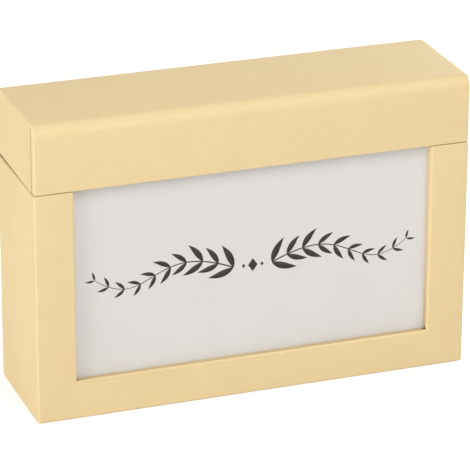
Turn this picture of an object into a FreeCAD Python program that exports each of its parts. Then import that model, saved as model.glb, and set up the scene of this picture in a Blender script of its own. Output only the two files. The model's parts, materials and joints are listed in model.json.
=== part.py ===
import FreeCAD, Part
import math
import os

os.makedirs("parts", exist_ok=True)

# Photo storage box with a flip-top lid and a picture window in its front.
# It is a set-up box: greyboard walls, held by paper stays at the corners and
# covered with an embossed paper. Millimetres, X to the right, Y to the back,
# Z up. The origin is the middle of the underside.

# Overall size of the closed box
width = 168.0
depth = 46.8
height = 115.0

# Boards and papers, by thickness
wall_board = 2.0
lid_board = 1.5
frame_board = 2.5
spacer_board = 1.05
neck_board = 1.5
card_board = 0.6
cover = 0.25
lining = 0.15
stay_tape = 0.15
bottom_paper = 0.2

# Joint between the lid and the body
hinge_height = 89.25
seam_gap = 0.35
rim_rise = 1.4
neck_rise = 9.0

# Picture window in the front of the body
frame_width = 15.0
slot_lap = 5.5
slot_play = 0.5
card_rise = 5.0
mitre_start = 0.7
mitre_gap = 2.0

# Rounding of the covered edges
lid_front_radius = 4.5
lid_back_radius = 2.3
lid_end_radius = 0.8
flap_top_radius = 1.0
lid_rim_radius = 0.2
body_rim_radius = 0.5
corner_radius = 0.9
foot_radius = 0.7
window_radius = 0.95

# Laps and hems of the papers
end_flap_setback = 2.8
back_sheet_setback = 1.0
bottom_sheet_setback = 1.5
hem = 12.0
lid_lining_setback = 10.0
stay_leg = 10.0

# Places worked out from these
floor = 0.0
half_width = width / 2
front = -depth / 2
back = depth / 2
body_back = back - cover
body_foot = bottom_paper
body_top = hinge_height - seam_gap / 2
wall_foot = body_foot + cover
wall_top = body_top - cover
lid_rim = hinge_height + seam_gap / 2
lid_back_rim = lid_rim + rim_rise
base_top = body_foot + wall_board
neck_top = hinge_height + neck_rise
frame_back = front + cover + frame_board
slot_front = frame_back + cover
slot_back = frame_back + spacer_board
front_wall_front = slot_back + lining
front_wall_back = front_wall_front + wall_board
back_wall_front = body_back - wall_board
window_half = half_width - frame_width
slot_half = window_half + slot_lap
slot_foot = frame_width - slot_lap
inner_half = half_width - cover - wall_board
lid_inner = cover + lid_board
lid_tab_half = half_width - cover
lid_inner_half = half_width - lid_inner

# Room that cutting blocks reach past the box, and the slack in finding edges
beyond = 5.0
above = height + beyond
hair = 0.001


def block(x0, x1, y0, y1, z0, z1):
    """Solid box between two corners."""
    return Part.makeBox(x1 - x0, y1 - y0, z1 - z0, FreeCAD.Vector(x0, y0, z0))


def joined(shapes):
    """One solid out of shapes that touch or overlap."""
    whole = shapes[0].fuse(shapes[1:])
    return whole.removeSplitter()


def mirrored(shape):
    """The same shape on the other side of the box."""
    return shape.mirror(FreeCAD.Vector(0, 0, 0), FreeCAD.Vector(1, 0, 0))


def edges_within(shape, low, high):
    """Edges whose own box lies inside the given box."""
    room = FreeCAD.BoundBox(*low, *high)
    room.enlarge(hair)
    return [edge for edge in shape.Edges if room.isInside(edge.BoundBox)]


def write(name, shape):
    """Save one piece of the box."""
    shape.exportStep("parts/" + name + ".step")


# Forms that the boards and papers are cut from

def rounded_case(inset, y1, z0, z1):
    """Block of the body, its upright and lower edges rounded."""
    half = half_width - inset
    y0 = front + inset
    case = block(-half, half, y0, y1, z0, z1)
    upright = [edge for edge in case.Edges if edge.BoundBox.ZLength > z1 - z0 - hair]
    case = case.makeFillet(corner_radius - inset, upright)
    low = edges_within(case, (-half, y0, z0), (half, y1, z0))
    return case.makeFillet(foot_radius - inset, low)


def window_cut(solid, inset, depth_end):
    """Cut the window into the front, open at the top, and round its edges."""
    half = window_half + inset
    foot = frame_width - inset
    y0 = front + inset
    solid = solid.cut(block(-half, half, front - beyond, depth_end, foot, above))
    sill = edges_within(solid, (-half, y0, foot), (half, y0, foot))
    jambs = []
    for side in (-half, half):
        jambs += edges_within(solid, (side, y0, foot), (side, y0, above))
    return solid.makeFillet(window_radius - inset, sill + jambs)


def lid_profile(inset, lift=0.0):
    """Face of the lid seen from its end; the rim rises a little to the back."""
    y0 = front + inset
    y1 = back - inset
    top = height - inset
    front_r = lid_front_radius - inset
    back_r = lid_back_radius - inset
    rim_front = lid_rim + lift + rim_rise * (y0 - front) / depth
    rim_back = lid_rim + lift + rim_rise * (y1 - front) / depth
    sagitta = 1 - math.sqrt(0.5)

    def at(y, z):
        return FreeCAD.Vector(0, y, z)

    front_mid = at(y0 + front_r * sagitta, top - front_r * sagitta)
    back_mid = at(y1 - back_r * sagitta, top - back_r * sagitta)
    edges = [
        Part.makeLine(at(y0, rim_front), at(y0, top - front_r)),
        Part.Arc(at(y0, top - front_r), front_mid, at(y0 + front_r, top)).toShape(),
        Part.makeLine(at(y0 + front_r, top), at(y1 - back_r, top)),
        Part.Arc(at(y1 - back_r, top), back_mid, at(y1, top - back_r)).toShape(),
        Part.makeLine(at(y1, top - back_r), at(y1, rim_back)),
        Part.makeLine(at(y1, rim_back), at(y0, rim_front)),
    ]
    return Part.Face(Part.Wire(edges))


def lid_block(inset, half, lift=0.0):
    """Lid profile drawn out to both sides."""
    face = lid_profile(inset, lift)
    face.translate(FreeCAD.Vector(-half, 0, 0))
    return face.extrude(FreeCAD.Vector(2 * half, 0, 0))


def soft_lid_block(inset, half):
    """Lid block with the edges of its two ends rounded, down to its square rim."""
    solid = lid_block(inset, half, inset)
    rim_level = lid_back_rim + inset + hair
    ends = []
    for side in (-half, half):
        on_end = edges_within(solid, (side, front, floor), (side, back, above))
        ends += [edge for edge in on_end if edge.BoundBox.ZMax > rim_level]
    return solid.makeFillet(lid_end_radius - inset, ends)


def end_flap_block(inset, half, y0, y1):
    """Middle stretch of the lid between two depths, its upper end edges rounded."""
    stretch = block(-half, half, y0, y1, floor, above)
    solid = lid_block(inset, half, inset).common(stretch)
    top = height - inset
    edges = []
    for side in (-half, half):
        edges += edges_within(solid, (side, y0, top), (side, y1, top))
    return solid.makeFillet(flap_top_radius - inset, edges)


# Body: what the cover paper encloses, and the cover's own outer form

def body_outer():
    """Outside of the covered body, with its window and its card slot."""
    case = rounded_case(0.0, body_back, body_foot, body_top)
    rim = edges_within(
        case, (-half_width, front, body_top), (half_width, body_back, body_top))
    case = case.makeFillet(body_rim_radius, rim)
    case = window_cut(case, 0.0, slot_front)
    return case.cut(block(-slot_half, slot_half, slot_front, slot_back, slot_foot, above))


def body_core():
    """Everything under the cover paper; hem and tails are pressed into it."""
    core = rounded_case(cover, body_back - cover, wall_foot, wall_top)
    mid = half_width - hem
    core = joined([
        core,
        block(-mid, mid, back_wall_front, body_back, wall_foot + hem, wall_top),
        block(-mid, mid, front + hem, body_back - hem, body_foot, base_top),
    ])
    core = window_cut(core, cover, frame_back)
    return core.cut(block(-slot_half, slot_half, frame_back, slot_back, slot_foot, above))


def corner_stays(layer, half, z0, z1):
    """Paper angles cut out of a thin layer round the four corners, by corner name."""
    reach = half - stay_leg
    stays = {}
    for side, x0, x1 in (("left", -half, -reach), ("right", reach, half)):
        stays["front_" + side] = layer.common(block(x0, x1, front, front + stay_leg, z0, z1))
        stays["back_" + side] = layer.common(block(x0, x1, back - stay_leg, back, z0, z1))
    return stays


def body_stays():
    """Paper angles round the upright corners of the body's walls."""
    inset = cover + stay_tape
    outside = rounded_case(cover, body_back - cover, wall_foot, wall_top)
    inside = rounded_case(inset, body_back - inset, wall_foot - beyond, wall_top + beyond)
    return corner_stays(
        outside.cut(inside), half_width - cover, body_foot + foot_radius, wall_top - cover)


def turn_in(x0, x1):
    """Cover paper turned over the top of an end wall and down its inside."""
    return block(x0, x1, slot_back, back_wall_front, wall_top - hem, wall_top)


def body_boards(core):
    """The boards of the body, cut out of the core."""
    boards = {
        "base_board": block(
            -inner_half, inner_half, front_wall_back, back_wall_front, floor, base_top),
        "back_wall_board": block(
            -inner_half, inner_half, back_wall_front, back, floor, above),
        "left_wall_board": block(-half_width, -inner_half, slot_back, back, floor, above),
        "right_wall_board": block(inner_half, half_width, slot_back, back, floor, above),
        "window_frame_board": block(
            -half_width, half_width, front, frame_back, floor, above),
        "left_slot_spacer": block(
            -half_width, -slot_half, frame_back, slot_back, floor, above),
        "right_slot_spacer": block(
            slot_half, half_width, frame_back, slot_back, floor, above),
        "bottom_slot_spacer": block(
            -slot_half, slot_half, frame_back, slot_back, floor, above),
    }
    return {name: core.common(room) for name, room in boards.items()}


def front_wall_board():
    """Inner front wall behind the card; it rises past the seam as a neck."""
    return block(
        -inner_half, inner_half, front_wall_front, front_wall_back,
        wall_foot, neck_top - lining)


def neck_strip():
    """Right neck strip: stands on the base inside the end wall."""
    outer = inner_half - lining
    return block(
        outer - neck_board, outer, front_wall_back + lining, back_wall_front - lining,
        base_top, neck_top - lining)


def picture_card():
    """Card that drops into the slot from above."""
    half = slot_half - slot_play
    y0 = slot_front + (slot_back - slot_front - card_board) / 2
    return block(-half, half, y0, y0 + card_board, slot_foot, hinge_height + card_rise)


# Papers of the body

def mitre_cut(y0, y1):
    """Right lower window corner, where the cover is slit and the board shows."""
    x, z = window_half, frame_width
    over_sill = Part.makePolygon([
        FreeCAD.Vector(x, y0, z - cover), FreeCAD.Vector(x, y1, z - cover),
        FreeCAD.Vector(x - mitre_gap, y1, z - cover), FreeCAD.Vector(x, y0, z - cover)])
    over_jamb = Part.makePolygon([
        FreeCAD.Vector(x, y0, z), FreeCAD.Vector(x, y1, z),
        FreeCAD.Vector(x, y1, z + mitre_gap), FreeCAD.Vector(x, y0, z)])
    return joined([
        Part.Face(over_sill).extrude(FreeCAD.Vector(0, 0, 2 * cover)),
        Part.Face(over_jamb).extrude(FreeCAD.Vector(cover, 0, 0)),
        block(x, x + cover, y0, y1, z - cover, z),
    ])


def body_cover_paper(core):
    """Wrap round the window frame and both ends, hemmed under and over."""
    paper = body_outer().cut(core)
    paper = paper.cut(block(-inner_half, inner_half, slot_back, back, wall_top, above))
    inner = inner_half + cover
    paper = joined([paper, turn_in(inner_half, inner), turn_in(-inner, -inner_half)])
    corner = mitre_cut(front + mitre_start, slot_front)
    return paper.cut([corner, mirrored(corner)])


def back_cover_paper():
    """Sheet down the back of the body; above the seam it is the lid's cover."""
    half = half_width - back_sheet_setback
    return block(
        -half, half, body_back, back, body_foot + bottom_sheet_setback, hinge_height)


def bottom_sheet():
    """Sheet that hides the hem under the base."""
    half = half_width - bottom_sheet_setback
    return block(
        -half, half, front + bottom_sheet_setback, body_back - bottom_sheet_setback,
        floor, body_foot)


def front_wall_paper():
    """Lining paper over the inner front wall, hung over its top edge."""
    half = inner_half
    inside_foot = base_top + lining
    return joined([
        block(-half, half, slot_back, front_wall_front, slot_foot, neck_top),
        block(-half, half, slot_back, front_wall_back + lining, neck_top - lining, neck_top),
        block(-half, half, front_wall_back, front_wall_back + lining, inside_foot, neck_top),
    ])


def neck_paper():
    """Lining paper over the right neck strip, hung over its top edge."""
    outer = inner_half
    inner = outer - neck_board - 2 * lining
    y0 = front_wall_back + lining
    y1 = back_wall_front - lining
    return joined([
        block(outer - lining, outer, y0, y1, wall_top - hem, neck_top),
        block(inner, outer, y0, y1, neck_top - lining, neck_top),
        block(inner, inner + lining, y0, y1, base_top + lining, neck_top),
    ])


def floor_lining():
    """Lining paper on the base."""
    half = inner_half - lining - neck_board
    return block(
        -half, half, front_wall_back, back_wall_front, base_top, base_top + lining)


def back_lining():
    """Lining paper on the back wall, up to the hinge paper."""
    half = inner_half
    return block(
        -half, half, back_wall_front - lining, back_wall_front,
        base_top + lining, wall_top - hem)


def hinge_paper_lower():
    """Inner hinge paper: its half on the body, over the edge of the back wall."""
    half = inner_half
    return joined([
        block(-half, half, back_wall_front - lining, back_wall_front,
              wall_top - hem, wall_top + lining),
        block(-half, half, back_wall_front, body_back, wall_top, wall_top + lining),
    ])


# Lid

def lid_core():
    """Everything under the lid's cover; the end tabs are pressed into it."""
    tabbed = soft_lid_block(cover, lid_tab_half - cover)
    middle = end_flap_block(cover, lid_tab_half, front + hem, back - hem)
    return joined([tabbed, middle])


def lid_stays():
    """Paper angles round the upright corners of the lid."""
    half = lid_tab_half - cover
    outside = soft_lid_block(cover, half)
    inside = soft_lid_block(cover + stay_tape, half - stay_tape)
    return corner_stays(
        outside.cut(inside), half, lid_back_rim + 2 * cover, height - lid_front_radius)


def lid_turn_in():
    """Cover paper turned over the lid's rim and up its inside."""
    outer = lid_block(lid_inner - cover, lid_inner_half + cover, -beyond)
    inner = lid_block(lid_inner, lid_inner_half, -beyond)
    room = block(-half_width, half_width, front, back - lid_inner, lid_rim, lid_rim + hem)
    return outer.cut(inner).common(room).common(lid_block(0.0, half_width, cover))


def lid_boards(core, hem_paper):
    """The bent board over front, top and back, and the two end boards."""
    hollow = lid_block(lid_inner, half_width, -beyond)
    plug = core.common(hollow)
    left_end = block(-half_width, -lid_inner_half, front, back, floor, above)
    boards = {
        "lid_bent_board": core.cut(hollow),
        "lid_left_end_board": plug.common(left_end),
        "lid_right_end_board": plug.common(mirrored(left_end)),
    }
    return {name: board.cut(hem_paper) for name, board in boards.items()}


def lid_cover_paper(core, hem_paper):
    """Wrap over front, top and back; its end flaps are glued over the tabs."""
    tabbed = soft_lid_block(0.0, lid_tab_half)
    rim = edges_within(
        tabbed, (-lid_tab_half, front, lid_rim), (lid_tab_half, back, lid_back_rim))
    tabbed = tabbed.makeFillet(lid_rim_radius, rim)
    flaps = end_flap_block(0.0, half_width, front + end_flap_setback, back - lid_back_radius)
    hollow = lid_block(lid_inner, lid_inner_half, -beyond)
    bare_edge = block(
        -lid_inner_half, lid_inner_half, back - lid_inner - cover, body_back,
        floor, lid_back_rim + cover)
    fold = block(
        -half_width + back_sheet_setback, half_width - back_sheet_setback,
        body_back, back, hinge_height, lid_back_rim + lid_rim_radius)
    paper = joined([tabbed, flaps]).cut([core, hollow, bare_edge])
    return joined([paper, hem_paper, fold])


def lid_lining():
    """Lining paper inside the lid, down to the hem and to the hinge paper."""
    outer = lid_block(lid_inner, lid_inner_half, lid_lining_setback)
    inner = lid_block(lid_inner + lining, lid_inner_half - lining, -beyond)
    hinge_room = block(
        -lid_inner_half, lid_inner_half, back - lid_inner - lining, back,
        floor, lid_back_rim + hem)
    return outer.cut([inner, hinge_room])


def hinge_paper_upper():
    """Inner hinge paper: its half on the lid, over the edge of the lid's back."""
    half = lid_inner_half
    y0 = back - lid_inner - lining
    foot_top = lid_back_rim + cover
    board_edge = lid_block(cover, half, cover)
    leg = block(-half, half, y0, y0 + lining, foot_top - lining, lid_back_rim + hem)
    foot = block(-half, half, y0, body_back, foot_top - lining, foot_top)
    return joined([leg, foot.cut(board_edge)])


def build():
    """Make every piece of the box and save it."""
    core = body_core()
    stays = body_stays()
    turned = [
        turn_in(inner_half, inner_half + cover),
        turn_in(-inner_half - cover, -inner_half),
    ]
    for name, board in body_boards(core).items():
        write(name, board.cut(list(stays.values()) + turned))
    write("front_wall_board", front_wall_board())
    write("right_neck_strip", neck_strip())
    write("left_neck_strip", mirrored(neck_strip()))
    write("picture_card", picture_card())
    for corner, stay in stays.items():
        write("body_stay_" + corner, stay)

    write("body_cover_paper", body_cover_paper(core))
    write("back_cover_paper", back_cover_paper())
    write("bottom_sheet", bottom_sheet())
    write("front_wall_paper", front_wall_paper())
    write("right_neck_paper", neck_paper())
    write("left_neck_paper", mirrored(neck_paper()))
    write("floor_lining", floor_lining())
    write("back_lining", back_lining())
    write("hinge_paper_lower", hinge_paper_lower())

    lid = lid_core()
    hem_paper = lid_turn_in()
    stays = lid_stays()
    for name, board in lid_boards(lid, hem_paper).items():
        write(name, board.cut(list(stays.values())))
    for corner, stay in stays.items():
        write("lid_stay_" + corner, stay)
    write("lid_cover_paper", lid_cover_paper(lid, hem_paper))
    write("lid_lining", lid_lining())
    write("hinge_paper_upper", hinge_paper_upper())


build()
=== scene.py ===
import json
import math

import bmesh
import bpy
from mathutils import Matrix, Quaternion, Vector


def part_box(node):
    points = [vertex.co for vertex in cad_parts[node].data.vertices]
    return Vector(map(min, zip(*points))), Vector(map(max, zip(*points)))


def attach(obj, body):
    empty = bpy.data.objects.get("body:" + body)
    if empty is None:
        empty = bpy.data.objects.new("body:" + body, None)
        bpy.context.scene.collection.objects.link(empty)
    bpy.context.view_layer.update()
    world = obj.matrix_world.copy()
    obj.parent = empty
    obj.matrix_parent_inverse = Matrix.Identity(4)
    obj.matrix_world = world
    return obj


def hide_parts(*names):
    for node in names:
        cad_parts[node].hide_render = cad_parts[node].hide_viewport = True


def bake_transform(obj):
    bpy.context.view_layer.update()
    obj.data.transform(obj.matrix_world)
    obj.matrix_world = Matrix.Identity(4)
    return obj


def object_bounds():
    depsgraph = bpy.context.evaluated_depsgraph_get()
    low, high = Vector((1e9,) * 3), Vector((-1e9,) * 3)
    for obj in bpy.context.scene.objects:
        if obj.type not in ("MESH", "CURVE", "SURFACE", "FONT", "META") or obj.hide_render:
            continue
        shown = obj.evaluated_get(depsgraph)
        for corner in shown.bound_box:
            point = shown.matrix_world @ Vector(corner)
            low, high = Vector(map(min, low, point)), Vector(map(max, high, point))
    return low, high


# Photo storage box: the paper-covered box round its packed boards.
# Metres, X to the right, Y from the picture window to the hinged back, Z up.

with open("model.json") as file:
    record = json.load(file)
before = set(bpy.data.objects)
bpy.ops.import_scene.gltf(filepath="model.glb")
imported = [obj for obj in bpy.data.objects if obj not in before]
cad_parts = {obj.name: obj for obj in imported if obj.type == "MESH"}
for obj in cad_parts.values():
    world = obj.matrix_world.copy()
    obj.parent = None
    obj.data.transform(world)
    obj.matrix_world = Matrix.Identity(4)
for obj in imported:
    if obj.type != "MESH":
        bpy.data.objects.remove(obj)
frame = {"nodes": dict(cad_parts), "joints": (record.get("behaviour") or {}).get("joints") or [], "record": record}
cad_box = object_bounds()
nodes = frame["nodes"]
MM = 0.001

# Sizes of the box that the boards and papers give
SHELL_LOW, SHELL_HIGH = cad_box
FRONT, BACK = SHELL_LOW.y, SHELL_HIGH.y
HALF_WIDTH = SHELL_HIGH.x
TOP = SHELL_HIGH.z
HINGE = Vector(frame["joints"][0]["pos_m"])
CARD_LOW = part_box("picture_card")[0]
LID_FRONT_RADIUS = 4.5 * MM
LID_BACK_RADIUS = 2.3 * MM
COVER = 0.25 * MM
LINING = 0.15 * MM
CREASE = math.radians(30)
MERGE_DISTANCE = 0.002 * MM
FLAT_ANGLE = math.radians(0.5)

# How squarely a face has to look along an axis to count as turned that way
FACING = 0.7

# Hinge: the back sheet and the free strip in which the papers fold
BACK_SHEET_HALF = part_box("back_cover_paper")[1].x
BACK_SHEET_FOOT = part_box("back_cover_paper")[0].z
STRIP_TOP = HINGE.z + 1.775 * MM
FOLD_START = HINGE.z - 0.25 * MM
FOLD_END = HINGE.z + 1.55 * MM
SHEET_COLUMNS = 24
BACK_ROWS = 14
FOLD_ROWS = 14
INNER_HINGE_ROWS = 16

# Ornament on the card, its stem in millimetres from the middle of the card
INK_THICKNESS = 0.02 * MM
ORNAMENT_LIFT = 1.0 * MM
SPRIG_STEM = [(7.5, 0), (17, 4.2), (30, 6.0), (42, -1.8), (52, -4.4), (61, 2.2)]
STEM_TAPER = 0.6
LEAF_BOW = 0.12
LEAF_SWELL = 0.8
LEAF_RANGE = (0.9, 1.1)
LEAF_STEPS = 14
DIAMOND_REACH = 2.6 * MM
DIAMOND_SLIMNESS = 0.72
DOT_REACH = 0.9 * MM
DOT_PLACE = 3.6 * MM

# Colours, as sRGB
CREAM = (235, 213, 167)
CREAM_DEEP = (226, 200, 148)
# The paper's cut edge: partly the paper's core, partly painted shade along the lid flap's edge
CUT_EDGE_AND_SHADE = (202, 176, 128)
CARD_GREY = (221, 218, 215)
CARD_GREY_DEEP = (214, 210, 207)
INK = (44, 38, 36)
INK_THIN = (70, 62, 58)
IVORY = (240, 234, 220)
IVORY_DEEP = (226, 218, 202)
BOARD_GREY = (128, 112, 92)
BOARD_DARK = (98, 84, 66)
KRAFT = (176, 142, 100)
KRAFT_DEEP = (150, 116, 78)

# Emboss of the cover paper, its cell in millimetres; it presses faintly and firmly in turns
EMBOSS_CELL = 1.6
EMBOSS_DEPTH = 0.05 * MM
EMBOSS_FAINT, EMBOSS_FIRM = 0.07, 0.36
# How much the lattice darkens the colour in its grooves and lightens it on its ridges: painted shade and painted
# highlight
EMBOSS_PAINTED_SHADE = 0.55

# How far fibres and the board's waves stand out and tint the cover paper
FIBRE_RELIEF = 0.35
FIBRE_TINT = (-0.08, 0.08)
BOARD_RELIEF = 3.0
BOARD_TINT = (0.3, 0.5)

# Grain of the finishes, in blotches to the metre
EMBOSS_WAVER = 90.0
BOARD_WAVE = 75.0
PAPER_CLOUD = 45.0
COVER_FIBRE = 2600.0
COVER_GLOSS = 900.0
BOARD_FIBRE = 1500.0
BOARD_FLECK = 3200.0
INK_LAY = 1800.0

# Nap of the bare finishes
BOARD_NAP = 0.08 * MM
INK_NAP = 0.004 * MM

# Shine of the finishes, and how dull it is, from the smoothest spot to the roughest
COVER_SHINE, COVER_DULL = 0.2, (0.46, 0.56)
PAPER_SHINE = 0.3
BOARD_SHINE, BOARD_DULL = 0.2, (0.85, 0.95)
INK_SHINE, INK_DULL = 0.4, (0.5, 0.6)


def linear(rgb, alpha=1.0):
    """Colour of a surface from its sRGB bytes."""
    def one(byte):
        c = byte / 255
        return c / 12.92 if c <= 0.04045 else ((c + 0.055) / 1.055) ** 2.4
    return (*[one(byte) for byte in rgb], alpha)


class Recipe:
    """A material, or the world's light, being mixed: adds nodes and joins them by name."""

    def __init__(self, name, world=False):
        store = bpy.data.worlds if world else bpy.data.materials
        self.owner = store.new(name)
        self.owner.use_nodes = True
        self.tree = self.owner.node_tree
        self.tree.nodes.clear()
        kind = "ShaderNodeOutputWorld" if world else "ShaderNodeOutputMaterial"
        self.out = self.tree.nodes.new(kind)

    def add(self, kind, settings=None, **inputs):
        """New node with its settings, and its inputs set to values or joined to sockets."""
        node = self.tree.nodes.new(kind)
        for key, value in (settings or {}).items():
            setattr(node, key, value)
        for key, value in inputs.items():
            self.feed(node, key.replace("_", " "), value)
        return node

    def feed(self, node, key, value):
        """Set one input of a node, given by its name or its number."""
        name = int(key) if key.isdigit() else key
        socket = node.inputs[name]
        if isinstance(value, bpy.types.NodeSocket):
            self.tree.links.new(value, socket)
        else:
            socket.default_value = value

    def math(self, operation, first, second=0.0):
        """One sum on two numbers."""
        node = self.add("ShaderNodeMath", {"operation": operation})
        self.feed(node, "0", first)
        self.feed(node, "1", second)
        return node.outputs[0]

    def mix(self, share, first, second):
        """A colour between two."""
        node = self.add("ShaderNodeMix", {"data_type": "RGBA"})
        self.feed(node, "0", share)
        self.feed(node, "6", first)
        self.feed(node, "7", second)
        return node.outputs[2]

    def noise(self, place, scale, detail=3.0, roughness=0.5):
        """Cloudy noise at so many blotches to the metre."""
        node = self.add(
            "ShaderNodeTexNoise", Vector=place, Scale=scale, Detail=detail, Roughness=roughness)
        return node.outputs["Fac"]

    def spread(self, value, low, high):
        """Stretch a noise from its middle stretch to low and high."""
        node = self.add("ShaderNodeMapRange")
        for key, amount in zip(("Value", "From Min", "From Max", "To Min", "To Max"),
                               (value, 0.3, 0.7, low, high)):
            self.feed(node, key, amount)
        return node.outputs["Result"]

    def finish(self, color, roughness, relief, depth, specular=0.5):
        """Join colour, roughness and relief to the surface shader."""
        bump = self.add("ShaderNodeBump", Height=relief, Distance=depth)
        shader = self.add("ShaderNodeBsdfPrincipled")
        self.feed(shader, "Base Color", color)
        self.feed(shader, "Roughness", roughness)
        self.feed(shader, "Specular IOR Level", specular)
        self.feed(shader, "Normal", bump.outputs["Normal"])
        self.feed(self.out, "Surface", shader.outputs[0])
        return self.owner

    def choose(self, share, first, second):
        """Show the second shader by its share, and the first for the rest."""
        node = self.add("ShaderNodeMixShader")
        self.feed(node, "0", share)
        self.feed(node, "1", first.outputs[0])
        self.feed(node, "2", second.outputs[0])
        self.feed(self.out, "Surface", node.outputs[0])
        return self.owner


def cover_paper(name, by_uv):
    """Cream paper, embossed with a fine lattice of crossing diagonals, with painted shade in its grooves and
    painted highlight on its ridges.
    """
    mix = Recipe(name)
    space = mix.add("ShaderNodeTexCoord")
    place = space.outputs["Object"]
    if by_uv:
        flat = mix.add("ShaderNodeUVMap", {"uv_map": "paper"}).outputs["UV"]
    else:
        flat = mix.add("ShaderNodeVectorMath", {"operation": "SCALE"})
        mix.feed(flat, "0", place)
        mix.feed(flat, "Scale", 1 / MM)
        flat = flat.outputs[0]
    waver = mix.noise(place, EMBOSS_WAVER, 2.0)
    parts = mix.add("ShaderNodeSeparateXYZ", Vector=flat)
    turn = 2 * math.pi / EMBOSS_CELL
    across = mix.math("MULTIPLY", parts.outputs["X"], turn)
    along = mix.math("MULTIPLY", parts.outputs["Y"], turn)
    rise = mix.math("COSINE", mix.math("ADD", across, along))
    fall = mix.math("COSINE", mix.math("SUBTRACT", across, along))
    lattice = mix.math("ADD", rise, fall)
    lattice = mix.math("MULTIPLY", lattice, mix.spread(waver, EMBOSS_FAINT, EMBOSS_FIRM))
    fibre = mix.noise(place, COVER_FIBRE, 4.0, 0.6)
    board = mix.noise(place, BOARD_WAVE, 3.0)
    relief = mix.math("ADD", lattice, mix.math("MULTIPLY", fibre, FIBRE_RELIEF))
    relief = mix.math("ADD", relief, mix.math("MULTIPLY", board, BOARD_RELIEF))
    # Painted shade in the lattice's grooves and painted highlight on its ridges, added to the random tints of
    # board and fibre
    groove_shade_paint = mix.math("MULTIPLY", lattice, EMBOSS_PAINTED_SHADE)
    shade = mix.math("ADD", groove_shade_paint, mix.spread(board, *BOARD_TINT))
    shade = mix.math("ADD", shade, mix.spread(fibre, *FIBRE_TINT))
    color = mix.mix(shade, linear(CREAM_DEEP), linear(CREAM))
    gloss = mix.spread(mix.noise(place, COVER_GLOSS, 3.0), *COVER_DULL)
    return mix.finish(color, gloss, relief, EMBOSS_DEPTH, COVER_SHINE)


def soft_paper(name, color, deeper, grain, depth, dull):
    """Plain uncoated paper with a fine felt-like surface."""
    mix = Recipe(name)
    place = mix.add("ShaderNodeTexCoord").outputs["Object"]
    fibre = mix.noise(place, grain, 5.0, 0.65)
    cloud = mix.noise(place, PAPER_CLOUD, 2.0)
    share = mix.math("ADD", mix.spread(fibre, 0.0, 0.35), mix.spread(cloud, 0.0, 0.3))
    tone = mix.mix(share, linear(color), linear(deeper))
    gloss = mix.spread(cloud, dull, dull + 0.1)
    return mix.finish(tone, gloss, fibre, depth, PAPER_SHINE)


def greyboard():
    """Raw recycled board: matted fibres with dark and pale flecks."""
    mix = Recipe("Raw greyboard")
    place = mix.add("ShaderNodeTexCoord").outputs["Object"]
    fibre = mix.noise(place, BOARD_FIBRE, 6.0, 0.7)
    fleck = mix.noise(place, BOARD_FLECK, 2.0)
    share = mix.math("ADD", mix.spread(fibre, 0.0, 0.6), mix.spread(fleck, 0.0, 0.4))
    tone = mix.mix(share, linear(BOARD_DARK), linear(BOARD_GREY))
    gloss = mix.spread(fibre, *BOARD_DULL)
    return mix.finish(tone, gloss, fibre, BOARD_NAP, BOARD_SHINE)


def printing_ink():
    """Dark ink with slightly uneven cover."""
    mix = Recipe("Printed ink")
    place = mix.add("ShaderNodeTexCoord").outputs["Object"]
    lay = mix.noise(place, INK_LAY, 3.0)
    tone = mix.mix(mix.spread(lay, 0.0, 0.35), linear(INK), linear(INK_THIN))
    return mix.finish(tone, mix.spread(lay, *INK_DULL), lay, INK_NAP, INK_SHINE)


COVER_PAPER = cover_paper("Embossed cover paper", True)
FLAT_COVER_PAPER = cover_paper("Embossed cover paper laid flat", False)
LINING_PAPER = soft_paper(
    "Lining paper", IVORY, IVORY_DEEP, grain=2200.0, depth=0.02 * MM, dull=0.7)
STAY_PAPER = soft_paper(
    "Kraft stay paper", KRAFT, KRAFT_DEEP, grain=1600.0, depth=0.03 * MM, dull=0.75)
CARD_STOCK = soft_paper(
    "Picture card", CARD_GREY, CARD_GREY_DEEP, grain=2600.0, depth=0.008 * MM, dull=0.55)
# The cut paper edge's colour is partly the paper's core and partly painted shade
RAW_EDGE_AND_SHADE = soft_paper(
    "Cut edge of the paper with painted shade", CUT_EDGE_AND_SHADE, BOARD_GREY, grain=3000.0, depth=0.01 * MM, dull=0.8)
GREYBOARD = greyboard()
PRINT = printing_ink()

SLOT_MATERIALS = {
    "cover_paper": FLAT_COVER_PAPER,
    "greyboard": GREYBOARD,
    "picture_card": CARD_STOCK,
    "lining_paper": LINING_PAPER,
    "stay_tape": STAY_PAPER,
}


def dress(piece, material):
    """Give a piece one material all over."""
    piece.data.materials.clear()
    piece.data.materials.append(material)


def dress_boards():
    """Give every packed board and paper the finish of its slot."""
    for part in frame["record"]["subparts"]:
        dress(nodes[part["node"]], SLOT_MATERIALS[part["material_slot"]])


def new_piece(name, mesh):
    """Object for a finished mesh, in place."""
    piece = bpy.data.objects.new(name, mesh)
    bpy.context.scene.collection.objects.link(piece)
    return piece


def crease_edges(mesh, limit):
    """Shade smooth, with a crease wherever the surface turns by more than the limit."""
    for face in mesh.polygons:
        face.use_smooth = True
    mesh.set_sharp_from_angle(angle=limit)


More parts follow.
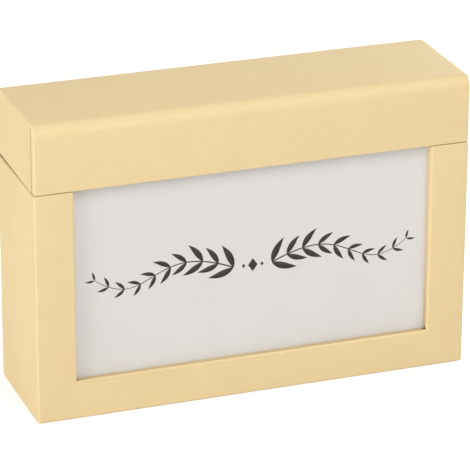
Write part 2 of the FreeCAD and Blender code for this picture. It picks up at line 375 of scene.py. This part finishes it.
def along_lid(y, z):
    """Distance along the lid's paper, from the seam up the front and over to the back."""
    turn = math.pi / 2
    front_centre = Vector((FRONT + LID_FRONT_RADIUS, TOP - LID_FRONT_RADIUS))
    back_centre = Vector((BACK - LID_BACK_RADIUS, TOP - LID_BACK_RADIUS))
    over_front = front_centre.y + turn * LID_FRONT_RADIUS
    over_top = over_front + back_centre.x - front_centre.x
    if y < front_centre.x and z > front_centre.y:
        angle = math.atan2(z - front_centre.y, front_centre.x - y)
        return front_centre.y + angle * LID_FRONT_RADIUS
    if y > back_centre.x and z > back_centre.y:
        angle = math.atan2(y - back_centre.x, z - back_centre.y)
        return over_top + angle * LID_BACK_RADIUS
    if y <= front_centre.x and z <= front_centre.y:
        return z
    if y >= back_centre.x and z <= back_centre.y:
        return over_top + turn * LID_BACK_RADIUS + back_centre.y - z
    return over_front + y - front_centre.x


def lid_paper_place(point, normal):
    """Place on the unrolled lid paper, in metres."""
    if abs(normal.x) > FACING:
        side = math.copysign(1.0, normal.x)
        return side * (HALF_WIDTH + point.y - FRONT), point.z
    return point.x, along_lid(point.y, point.z)


def body_paper_place(point, normal):
    """Place on the unrolled body paper, in metres."""
    if abs(normal.x) > FACING:
        side = math.copysign(1.0, point.x)
        return side * (HALF_WIDTH + point.y - FRONT), point.z
    if abs(normal.z) > FACING:
        return point.x, point.y
    return point.x, point.z


def unroll(mesh, place_of):
    """Lay the paper's pattern over a mesh, in millimetres."""
    layer = mesh.uv_layers.new(name="paper")
    for face in mesh.polygons:
        for loop in face.loop_indices:
            point = mesh.vertices[mesh.loops[loop].vertex_index].co
            u, v = place_of(point, face.normal)
            layer.data[loop].uv = (u / MM, v / MM)


def paper_copy(node, name):
    """Copy of a packed paper with its loose triangles merged into whole faces."""
    sheet = bmesh.new()
    sheet.from_mesh(nodes[node].data)
    bmesh.ops.remove_doubles(sheet, verts=sheet.verts, dist=MERGE_DISTANCE)
    bmesh.ops.dissolve_limit(
        sheet, angle_limit=FLAT_ANGLE, verts=sheet.verts, edges=sheet.edges)
    mesh = bpy.data.meshes.new(name)
    sheet.to_mesh(mesh)
    sheet.free()
    return mesh


def cut_hinge_strip(piece):
    """Take the free strip of the hinge off the lid's wrap; the back sheet carries it."""
    cutter = bmesh.new()
    bmesh.ops.create_cube(cutter, size=1.0)
    low = Vector((-BACK_SHEET_HALF, BACK - COVER, HINGE.z - COVER))
    high = Vector((BACK_SHEET_HALF, BACK + COVER, STRIP_TOP))
    for corner in cutter.verts:
        share = corner.co + Vector((0.5, 0.5, 0.5))
        corner.co = low + Vector(a * b for a, b in zip(share, high - low))
    mesh = bpy.data.meshes.new("strip_cutter")
    cutter.to_mesh(mesh)
    cutter.free()
    tool = new_piece("strip_cutter", mesh)
    cut = piece.modifiers.new("strip", "BOOLEAN")
    cut.operation = "DIFFERENCE"
    cut.object = tool
    cut.solver = "EXACT"
    harden(piece)
    bpy.data.objects.remove(tool)


def harden(piece):
    """Turn a piece and its modifiers into a plain mesh."""
    seen = bpy.context.evaluated_depsgraph_get()
    seen.update()
    mesh = bpy.data.meshes.new_from_object(piece.evaluated_get(seen))
    piece.modifiers.clear()
    piece.data = mesh


def settle(piece, body, slot, *replaced):
    """Fix a finished piece to its body and hide the packed parts it stands for."""
    if replaced:
        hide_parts(*replaced)
    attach(piece, body)


def body_cover():
    """Wrap of the body, with its window edges, mitres and hems."""
    mesh = paper_copy("body_cover_paper", "body_cover")
    unroll(mesh, body_paper_place)
    crease_edges(mesh, CREASE)
    piece = new_piece("body_cover", mesh)
    dress(piece, COVER_PAPER)
    settle(piece, "body", "cover_paper", "body_cover_paper")


def lid_cover():
    """Wrap of the lid, with its proud end flaps."""
    piece = new_piece("lid_cover", paper_copy("lid_cover_paper", "lid_cover"))
    cut_hinge_strip(piece)
    unroll(piece.data, lid_paper_place)
    crease_edges(piece.data, CREASE)
    dress(piece, COVER_PAPER)
    paint_flap_edge_shade(piece.data)
    settle(piece, "lid", "cover_paper", "lid_cover_paper")


def paint_flap_edge_shade(mesh):
    """Show the paper's cut edge where an end flap stops short of a corner; its colour is partly the paper's core
    and partly painted shade along the flap's edge.
    """
    mesh.materials.append(RAW_EDGE_AND_SHADE)
    near_end = HALF_WIDTH - LID_BACK_RADIUS
    off_corner = BACK - 1.1 * LID_BACK_RADIUS
    for face in mesh.polygons:
        at_end = all(abs(mesh.vertices[i].co.x) > near_end for i in face.vertices)
        if at_end and abs(face.normal.y) > 0.9 and abs(face.center.y) < off_corner:
            face.material_index = 1


def steps(first, last, count):
    """Evenly spaced values from first to last."""
    return [first + (last - first) * i / count for i in range(count + 1)]


def bent_sheet(name, glued, free, halves, columns):
    """Sheet of paper across the box, from its glued side and its free side seen in section.

    Both sides are lists of (y, z) of equal length; halves gives the half width at each.
    """
    rows = len(glued)
    verts = []
    for side in (glued, free):
        for (y, z), half in zip(side, halves):
            verts += [(x, y, z) for x in steps(-half, half, columns)]
    line = columns + 1

    def at(side, row, column):
        return (side * rows + row) * line + column

    faces = []
    for row in range(rows - 1):
        for column in range(columns):
            near = [at(0, row, column), at(0, row, column + 1)]
            faces.append(near + [at(0, row + 1, column + 1), at(0, row + 1, column)])
            far = [at(1, row + 1, column), at(1, row + 1, column + 1)]
            faces.append(far + [at(1, row, column + 1), at(1, row, column)])
        for column in (0, columns):
            edge = [at(0, row, column), at(0, row + 1, column)]
            faces.append(edge + [at(1, row + 1, column), at(1, row, column)])
    for row in (0, rows - 1):
        for column in range(columns):
            edge = [at(0, row, column), at(0, row, column + 1)]
            faces.append(edge + [at(1, row, column + 1), at(1, row, column)])
    mesh = bpy.data.meshes.new(name)
    mesh.from_pydata(verts, [], faces)
    shell = bmesh.new()
    shell.from_mesh(mesh)
    bmesh.ops.recalc_face_normals(shell, faces=shell.faces)
    shell.to_mesh(mesh)
    shell.free()
    return mesh


def back_sheet():
    """Sheet down the back; its free strip over the seam is the outer hinge."""
    heights = steps(BACK_SHEET_FOOT, FOLD_START, BACK_ROWS)
    heights += steps(FOLD_START, FOLD_END, FOLD_ROWS)[1:] + [STRIP_TOP]
    outer = [(BACK, z) for z in heights]
    inner = [(BACK - COVER, z) for z in heights]
    halves = [BACK_SHEET_HALF] * len(heights)
    mesh = bent_sheet("back_sheet", inner, outer, halves, SHEET_COLUMNS)
    unroll(mesh, body_paper_place)
    crease_edges(mesh, CREASE)
    piece = new_piece("back_sheet", mesh)
    dress(piece, COVER_PAPER)
    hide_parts("back_cover_paper")
    fold_across_hinge(piece)


def inner_hinge():
    """Lining strip inside the hinge, from the back wall over the gap into the lid."""
    low_foot, low_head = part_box("hinge_paper_lower")
    up_foot, up_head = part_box("hinge_paper_upper")
    gap_y = low_head.y
    wall_y = low_foot.y + LINING
    lid_y = up_foot.y + LINING
    heights = steps(low_head.z - LINING, up_foot.z + LINING, INNER_HINGE_ROWS)
    glued = [(wall_y, low_foot.z), (wall_y, low_head.z - LINING)]
    free = [(wall_y - LINING, low_foot.z), (wall_y - LINING, low_head.z)]
    inside = steps(low_head.z, up_foot.z, INNER_HINGE_ROWS)
    glued += [(gap_y, z) for z in heights]
    free += [(gap_y - LINING, z) for z in inside]
    glued += [(lid_y, up_foot.z + LINING), (lid_y, up_head.z)]
    free += [(lid_y - LINING, up_foot.z), (lid_y - LINING, up_head.z)]
    halves = [low_head.x] * (len(glued) - 2) + [up_head.x] * 2
    mesh = bent_sheet("inner_hinge", glued, free, halves, SHEET_COLUMNS)
    crease_edges(mesh, CREASE)
    piece = new_piece("inner_hinge", mesh)
    dress(piece, LINING_PAPER)
    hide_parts("hinge_paper_lower", "hinge_paper_upper")
    fold_across_hinge(piece)


def fold_across_hinge(piece):
    """Bake a sheet's placing into its mesh."""
    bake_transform(piece)


# Ornament on the card: two leaf sprigs that mirror each other, and a diamond


def group_input(tree, name, kind, value):
    """Named input of a geometry tree with its usual value."""
    socket = tree.interface.new_socket(name, in_out="INPUT", socket_type=kind)
    if kind != "NodeSocketGeometry":
        socket.default_value = value
    return socket.identifier


class Growth:
    """A geometry tree being built."""

    def __init__(self, name):
        self.tree = bpy.data.node_groups.new(name, "GeometryNodeTree")
        self.names = {}
        self.take("Stem", "NodeSocketGeometry", None)
        self.tree.interface.new_socket(
            "Geometry", in_out="OUTPUT", socket_type="NodeSocketGeometry")

    def take(self, name, kind, value):
        """Add a named input."""
        self.names[name] = group_input(self.tree, name, kind, value)

    def start(self):
        """The sockets of the inputs, once every input is there."""
        self.out = self.tree.nodes.new("NodeGroupOutput")
        return self.tree.nodes.new("NodeGroupInput").outputs

    def add(self, kind, settings=None, **inputs):
        """New node; its inputs are values or sockets, by name or, as n0 and so on, by number."""
        node = self.tree.nodes.new(kind)
        for key, value in (settings or {}).items():
            setattr(node, key, value)
        for key, value in inputs.items():
            name = int(key[1:]) if key[0] == "n" and key[1:].isdigit() else key.replace("_", " ")
            socket = node.inputs[name]
            if isinstance(value, bpy.types.NodeSocket):
                self.tree.links.new(value, socket)
            else:
                socket.default_value = value
        return node

    def math(self, operation, first, second=0.0):
        """One sum on two numbers."""
        node = self.add("ShaderNodeMath", {"operation": operation}, n0=first, n1=second)
        return node.outputs[0]


def flat_path(grow, curve):
    """The same curve, with its strokes lying in the card's plane."""
    return grow.add("GeometryNodeSetCurveNormal", {"mode": "Z_UP"}, Curve=curve).outputs[0]


def stroke(grow, path, profile, half_width):
    """Stroke of ink along a path, with its half width at each place."""
    return grow.add("GeometryNodeCurveToMesh", Curve=path, Profile_Curve=profile,
                    Scale=half_width, Fill_Caps=True).outputs[0]


def stem_stroke(grow, given, stem, profile):
    """The stem, which thins towards its tip."""
    along = grow.add("GeometryNodeSplineParameter").outputs["Factor"]
    taper = grow.math("SUBTRACT", 1.0, grow.math("MULTIPLY", along, STEM_TAPER))
    half = grow.math("MULTIPLY", given["Stem width"], 0.5)
    return stroke(grow, stem, profile, grow.math("MULTIPLY", half, taper))


def leaf_stroke(grow, given, profile):
    """One leaf: a slightly bowed rib with a belly that is fullest before its middle."""
    length = given["Leaf length"]
    middle = grow.add("ShaderNodeCombineXYZ", X=grow.math("MULTIPLY", length, 0.5),
                      Y=grow.math("MULTIPLY", length, LEAF_BOW))
    tip = grow.add("ShaderNodeCombineXYZ", X=length)
    rib = grow.add("GeometryNodeCurveQuadraticBezier", Resolution=LEAF_STEPS,
                   Start=(0, 0, 0), Middle=middle.outputs[0], End=tip.outputs[0])
    along = grow.add("GeometryNodeSplineParameter").outputs["Factor"]
    swell = grow.math("POWER", along, LEAF_SWELL)
    belly = grow.math("SINE", grow.math("MULTIPLY", swell, math.pi))
    half = grow.math("MULTIPLY", given["Leaf width"], 0.5)
    path = flat_path(grow, rib.outputs[0])
    return stroke(grow, path, profile, grow.math("MULTIPLY", half, belly))


def leaf_row(grow, given, spots, leaf, side):
    """Leaves down one side of the stem, smaller towards its tip, no two quite alike."""
    order = grow.add("GeometryNodeInputIndex").outputs[0]
    share = grow.math("DIVIDE", order, grow.math("SUBTRACT", given["Leaf pairs"], 1.0))
    loss = grow.math("MULTIPLY", share, grow.math("SUBTRACT", 1.0, given["Tip share"]))
    size = grow.math("SUBTRACT", 1.0, loss)
    chance = grow.add("FunctionNodeRandomValue", {"data_type": "FLOAT"},
                      n2=LEAF_RANGE[0], n3=LEAF_RANGE[1], ID=order, Seed=given["Seed"])
    luck = chance.outputs[1]
    angle = grow.math("MULTIPLY", given["Leaf angle"], side)
    turn = grow.add("ShaderNodeCombineXYZ", Z=grow.math("MULTIPLY", angle, luck))
    tangent = grow.add("FunctionNodeAlignRotationToVector", {"axis": "X", "pivot_axis": "Z"},
                       Vector=spots.outputs["Tangent"])
    facing = grow.add("FunctionNodeRotateRotation", {"rotation_space": "LOCAL"},
                      Rotation=tangent.outputs[0], Rotate_By=turn.outputs[0])
    scale = grow.math("MULTIPLY", size, luck)
    stretch = grow.add("ShaderNodeCombineXYZ", X=scale,
                       Y=grow.math("MULTIPLY", scale, side), Z=1.0)
    leaves = grow.add("GeometryNodeInstanceOnPoints", Points=spots.outputs["Points"],
                      Instance=leaf, Rotation=facing.outputs[0], Scale=stretch.outputs[0])
    return leaves.outputs[0]


def sprig_tree():
    """Tree that grows paired leaves along a stem, in the stem's plane."""
    grow = Growth("Leaf sprig")
    grow.take("Leaf pairs", "NodeSocketInt", 10)
    grow.take("Leaf length", "NodeSocketFloat", 10.0 * MM)
    grow.take("Leaf width", "NodeSocketFloat", 2.5 * MM)
    grow.take("Tip share", "NodeSocketFloat", 0.35)
    grow.take("Leaf angle", "NodeSocketFloat", math.radians(38))
    grow.take("Stem width", "NodeSocketFloat", 0.55 * MM)
    grow.take("Ink share", "NodeSocketFloat", 0.04)
    grow.take("Seed", "NodeSocketInt", 4)
    grow.take("Ink", "NodeSocketMaterial", None)
    given = grow.start()
    profile = grow.add("GeometryNodeCurvePrimitiveQuadrilateral", Width=2.0,
                       Height=given["Ink share"]).outputs[0]
    stem = flat_path(grow, given["Stem"])
    leaf = leaf_stroke(grow, given, profile)
    spots = grow.add("GeometryNodeCurveToPoints", {"mode": "COUNT"}, Curve=stem,
                     Count=given["Leaf pairs"])
    rows = [leaf_row(grow, given, spots, leaf, side) for side in (1.0, -1.0)]
    join = grow.add("GeometryNodeJoinGeometry")
    for part in [stem_stroke(grow, given, stem, profile)] + rows:
        grow.tree.links.new(part, join.inputs[0])
    real = grow.add("GeometryNodeRealizeInstances", Geometry=join.outputs[0])
    inked = grow.add("GeometryNodeSetMaterial", Geometry=real.outputs[0], Material=given["Ink"])
    grow.tree.links.new(inked.outputs[0], grow.out.inputs[0])
    return grow


def stem_curve(name, points):
    """Smooth flat stem through the plane of the card, given in millimetres."""
    curve = bpy.data.curves.new(name, "CURVE")
    curve.dimensions = "3D"
    curve.resolution_u = 16
    spline = curve.splines.new("NURBS")
    spline.points.add(len(points) - 1)
    for point, (x, y) in zip(spline.points, points):
        point.co = (x * MM, y * MM, 0, 1)
    spline.order_u = 4
    spline.use_endpoint_u = True
    return new_piece(name, curve)


def grown(name, points, **inputs):
    """Mesh of one sprig, grown on its stem."""
    stem = stem_curve(name + "_stem", points)
    grow = sprig_tree()
    twigs = stem.modifiers.new("growth", "NODES")
    twigs.node_group = grow.tree
    twigs[grow.names["Ink"]] = PRINT
    for key, value in inputs.items():
        twigs[grow.names[key.replace("_", " ")]] = value
    seen = bpy.context.evaluated_depsgraph_get()
    mesh = bpy.data.meshes.new_from_object(stem.evaluated_get(seen))
    mesh.name = name
    bpy.data.objects.remove(stem)
    return mesh


def diamond(sheet, x, z, reach, thick):
    """Small upright diamond, added to an ink sheet in the card's plane."""
    half = reach * DIAMOND_SLIMNESS
    ring = [(x - half, z), (x, z - reach), (x + half, z), (x, z + reach)]
    low = [sheet.verts.new((a, b, 0)) for a, b in ring]
    high = [sheet.verts.new((a, b, thick)) for a, b in ring]
    sheet.faces.new(high)
    sheet.faces.new(list(reversed(low)))
    for i in range(4):
        j = (i + 1) % 4
        sheet.faces.new((low[i], low[j], high[j], high[i]))


def onto_card(sheet, lift):
    """Stand a flat ink sheet up against the front of the card."""
    centre = (CARD_LOW.z + HINGE.z) / 2 + lift
    for vert in sheet.verts:
        x, y, z = vert.co
        vert.co = (x, CARD_LOW.y - z, centre + y)
    bmesh.ops.recalc_face_normals(sheet, faces=sheet.faces)


def ornament():
    """The printed ornament in the middle of the card."""
    sheet = bmesh.new()
    sprig = grown("sprig", SPRIG_STEM)
    sheet.from_mesh(sprig)
    mirrored = sheet.copy()
    for vert in mirrored.verts:
        vert.co.x = -vert.co.x
    other = bpy.data.meshes.new("sprig_mirrored")
    mirrored.to_mesh(other)
    mirrored.free()
    sheet.from_mesh(other)
    diamond(sheet, 0, 0, DIAMOND_REACH, INK_THICKNESS)
    for side in (-1, 1):
        diamond(sheet, side * DOT_PLACE, 0, DOT_REACH, INK_THICKNESS)
    onto_card(sheet, ORNAMENT_LIFT)
    mesh = bpy.data.meshes.new("card_ornament")
    sheet.to_mesh(mesh)
    sheet.free()
    piece = new_piece("card_ornament", mesh)
    dress(piece, PRINT)
    settle(piece, "body", "picture_card")


dress_boards()
body_cover()
lid_cover()
back_sheet()
inner_hinge()
ornament()


# Camera at the photograph's angle, in box heights
CAMERA_AZIMUTH = math.radians(-20.04)
CAMERA_ELEVATION = math.radians(22.29)
CAMERA_ROLL = math.radians(0.23)
CAMERA_DISTANCE = 10.28
CAMERA_AIM = Vector((0.0205, 0.25, 0.4514))
FOCAL_PIXELS = 3155.0
FRAME_PIXELS = 470.0
SENSOR = 36.0

# Light: soft square lamps round the middle of the box, and the even light of the room
MIDDLE = (0, 0, TOP / 2)
LAMPS = [
    # name, place in metres, side in metres, watts
    ("lamp_left", (-1.0, -0.25, 0.08), 0.6, 9.2),
    ("lamp_front", (0.15, -1.0, 0.6), 0.6, 2.5),
    ("lamp_above_right", (0.45, -0.65, 0.95), 0.6, 2.7),
    ("lamp_above_front", (-0.1, -0.6, 1.1), 0.6, 4.0),
    ("lamp_above_back", (0.2, 0.4, 1.1), 0.6, 1.4),
    ("lamp_back_right", (0.8, 1.0, 0.06), 0.4, 12.0),
]
ROOM_LIGHT = 0.33
WHITE = (1, 1, 1, 1)
FLOOR_REACH = 6.0
FLOOR_DROP = 0.02 * MM
FLOOR_PAINT = 0.8
FLOOR_GLOW = 0.45


def camera():
    """Long lens from the front left, a little above."""
    lens = bpy.data.cameras.new("camera")
    lens.sensor_width = SENSOR
    lens.lens = FOCAL_PIXELS / FRAME_PIXELS * SENSOR
    lens.clip_start = 0.05
    lens.clip_end = 20.0
    eye = bpy.data.objects.new("camera", lens)
    bpy.context.scene.collection.objects.link(eye)
    flat = math.cos(CAMERA_ELEVATION)
    away = Vector((math.sin(CAMERA_AZIMUTH) * flat, -math.cos(CAMERA_AZIMUTH) * flat,
                   math.sin(CAMERA_ELEVATION)))
    aim = Vector((CAMERA_AIM.x * TOP, FRONT + CAMERA_AIM.y * TOP, CAMERA_AIM.z * TOP))
    eye.location = aim + away * CAMERA_DISTANCE * TOP
    eye.rotation_mode = "QUATERNION"
    level = (-away).to_track_quat("-Z", "Y")
    eye.rotation_quaternion = level @ Quaternion((0, 0, 1), CAMERA_ROLL)
    bpy.context.scene.camera = eye


def lamp(name, place, aim, size, power):
    """Soft square lamp that looks at a point."""
    light = bpy.data.lights.new(name, "AREA")
    light.shape = "SQUARE"
    light.size = size
    light.energy = power
    holder = bpy.data.objects.new(name, light)
    holder.location = place
    holder.rotation_mode = "QUATERNION"
    holder.rotation_quaternion = (Vector(aim) - Vector(place)).to_track_quat("-Z", "Y")
    bpy.context.scene.collection.objects.link(holder)


def daylight():
    """Even white surroundings that also make the backdrop."""
    mix = Recipe("studio", world=True)
    path = mix.add("ShaderNodeLightPath").outputs
    seen = mix.math("ADD", path["Is Camera Ray"], path["Is Glossy Ray"])
    seen = mix.math("ADD", seen, path["Is Transmission Ray"])
    seen = mix.math("MINIMUM", seen, 1.0)
    light = mix.add("ShaderNodeBackground", Color=WHITE, Strength=ROOM_LIGHT)
    backdrop = mix.add("ShaderNodeBackground", Color=WHITE, Strength=1.0)
    bpy.context.scene.world = mix.choose(seen, light, backdrop)


def studio_floor():
    """Pale floor; to the camera it glows a little, so that only the shadow shows."""
    mesh = bpy.data.meshes.new("studio_floor")
    corners = [(x, y, -FLOOR_DROP) for x, y in (
        (-FLOOR_REACH, -FLOOR_REACH), (FLOOR_REACH, -FLOOR_REACH),
        (FLOOR_REACH, FLOOR_REACH), (-FLOOR_REACH, FLOOR_REACH))]
    mesh.from_pydata(corners, [], [(0, 1, 2, 3)])
    plane = new_piece("studio_floor", mesh)
    mix = Recipe("Studio floor")
    pale = (FLOOR_PAINT, FLOOR_PAINT, FLOOR_PAINT, 1)
    paint = mix.add("ShaderNodeBsdfDiffuse", Color=pale)
    glow = mix.add("ShaderNodeEmission", Color=WHITE, Strength=FLOOR_GLOW)
    both = mix.add("ShaderNodeAddShader")
    mix.feed(both, "0", paint.outputs[0])
    mix.feed(both, "1", glow.outputs[0])
    seen = mix.add("ShaderNodeLightPath").outputs["Is Camera Ray"]
    dress(plane, mix.choose(seen, paint, both))


camera()
daylight()
studio_floor()
for lamp_name, place, side, watts in LAMPS:
    lamp(lamp_name, place, MIDDLE, side, watts)

bpy.context.scene.view_settings.view_transform = "Standard"
